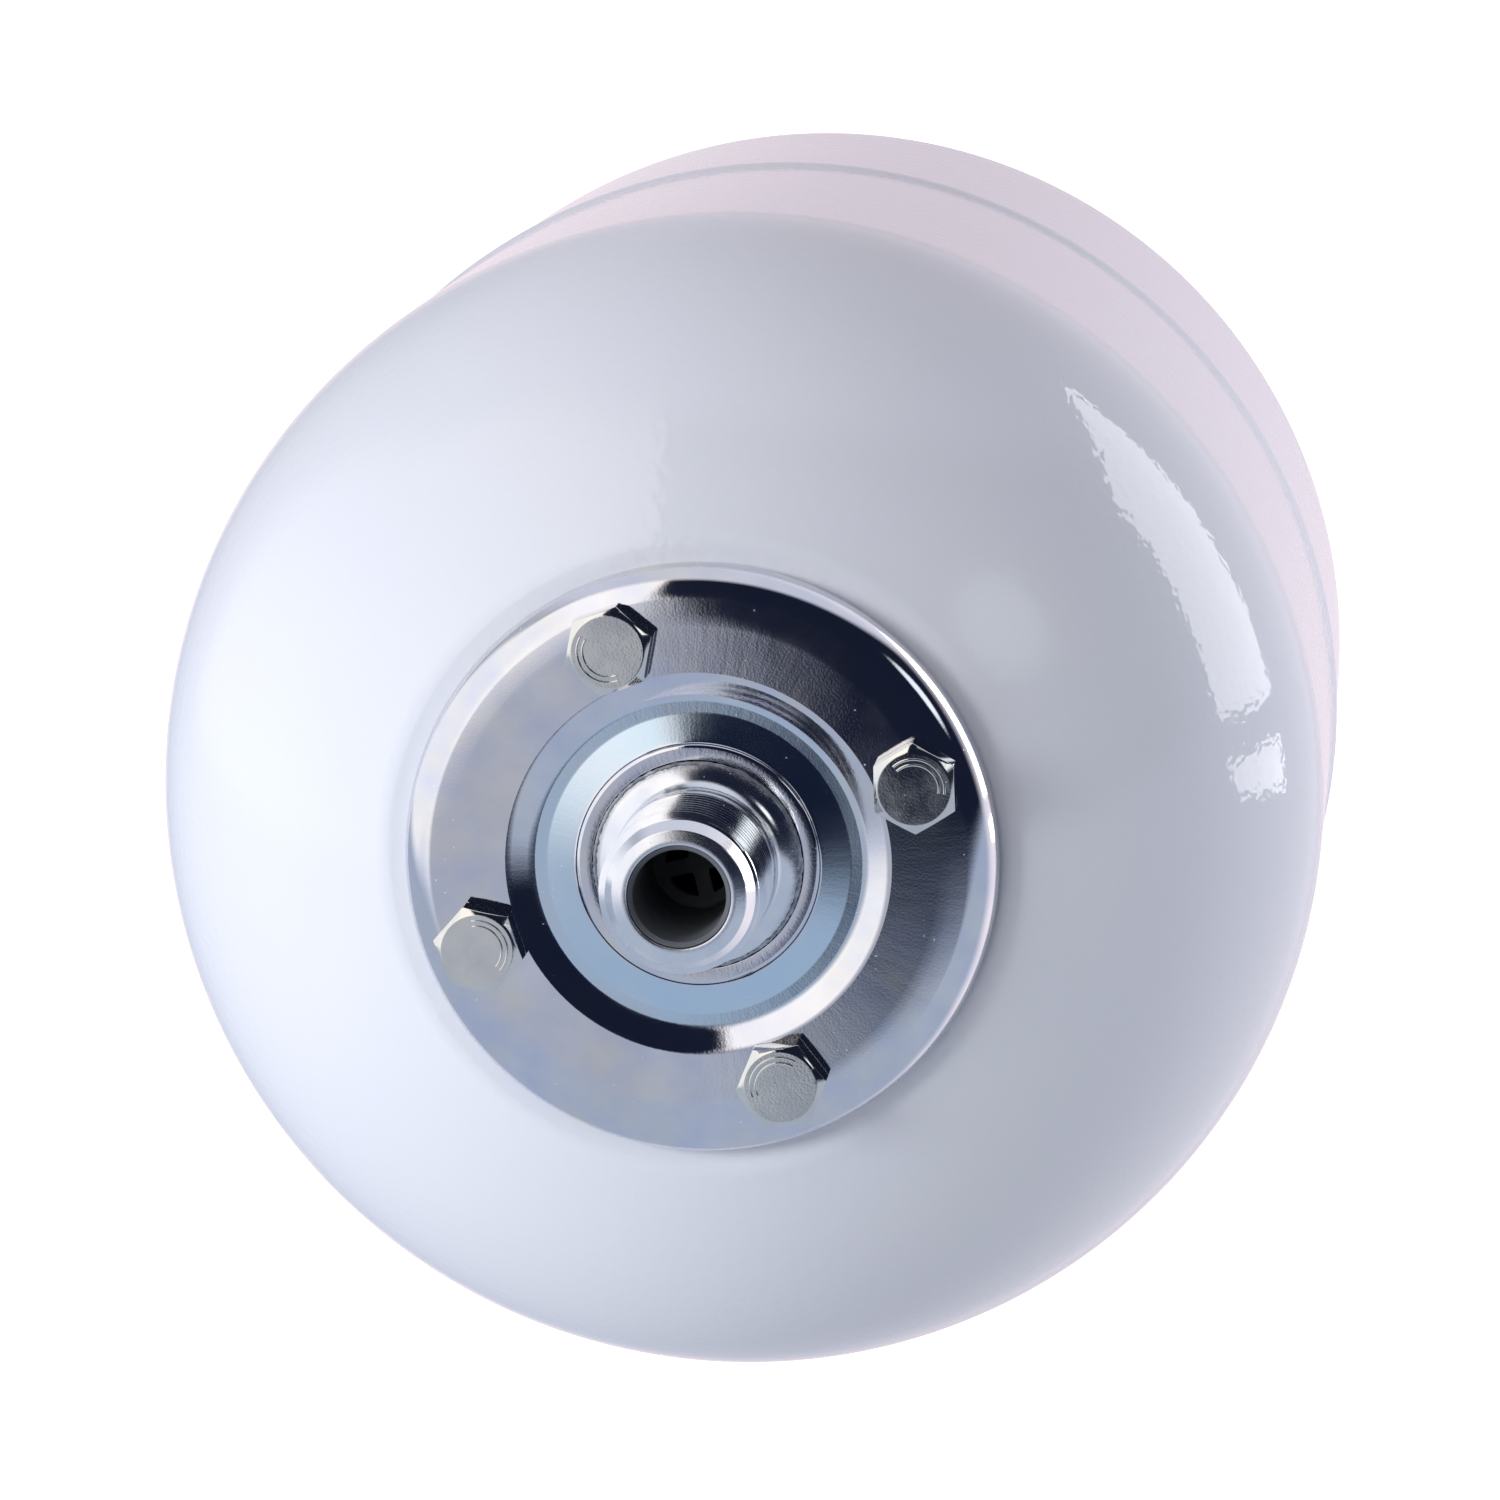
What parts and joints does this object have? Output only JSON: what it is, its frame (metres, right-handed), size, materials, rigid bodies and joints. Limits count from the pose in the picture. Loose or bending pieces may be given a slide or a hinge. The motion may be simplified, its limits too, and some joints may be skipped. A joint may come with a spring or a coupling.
{
  "type": "pressure tank",
  "caption": "Small enamelled steel pressure tank for water, with a threaded nipple on a screwed flange, a rubber bag inside and an air valve at the rear.",
  "frame": {"origin": "on the tank's axis, at the lower end of the connection's thread", "axes": "+Z along the tank's axis, out of the connection; the air valve points to -Z; +X and +Y across the tank, with the first flange screw 21 degrees from +X towards +Y"},
  "size_m": [0.2022, 0.2022, 0.3521],
  "materials": {
    "enamel": "gloss",
    "bare_steel": "satin",
    "bright_zinc": "polished",
    "insert_plastic": "satin",
    "bag_rubber": "matte",
    "seal_rubber": "matte",
    "yellow_brass": "satin",
    "spring_steel": "polished",
    "cap_plastic": "satin",
    "cover_plastic": "satin"
  },
  "bodies": {
    "vessel": {"front_shell": "enamel", "rear_shell": "enamel", "girth_weld": "enamel", "counter_ring": "bare_steel", "flange_plate": "bright_zinc", "nipple": "bright_zinc", "strainer_insert": "insert_plastic", "flange_bolt_1": "bright_zinc", "flange_bolt_2": "bright_zinc", "flange_bolt_3": "bright_zinc", "flange_bolt_4": "bright_zinc", "membrane": "bag_rubber", "valve_boss": "enamel", "valve_body": "yellow_brass", "valve_o_ring": "seal_rubber", "core_barrel": "yellow_brass", "core_gasket": "seal_rubber", "core_spring": "spring_steel", "dust_cap": "cap_plastic", "dust_cap_seal": "seal_rubber"},
    "valve_pin": {"core_pin": "yellow_brass", "core_seal": "seal_rubber"},
    "cover": {"valve_cover": "cover_plastic"}
  },
  "joints": [
    {"name": "pin_press", "type": "slide", "parent": "vessel", "child": "valve_pin", "axis": [0, 0, 1], "range_m": [0, 0.0012], "stiffness_N_per_m": 400, "springref_m": -0.003, "deforming": ["core_spring"]},
    {"name": "cover_pull", "type": "slide", "parent": "vessel", "child": "cover", "axis": [0, 0, -1], "range_m": [0, 0.03]}
  ]
}
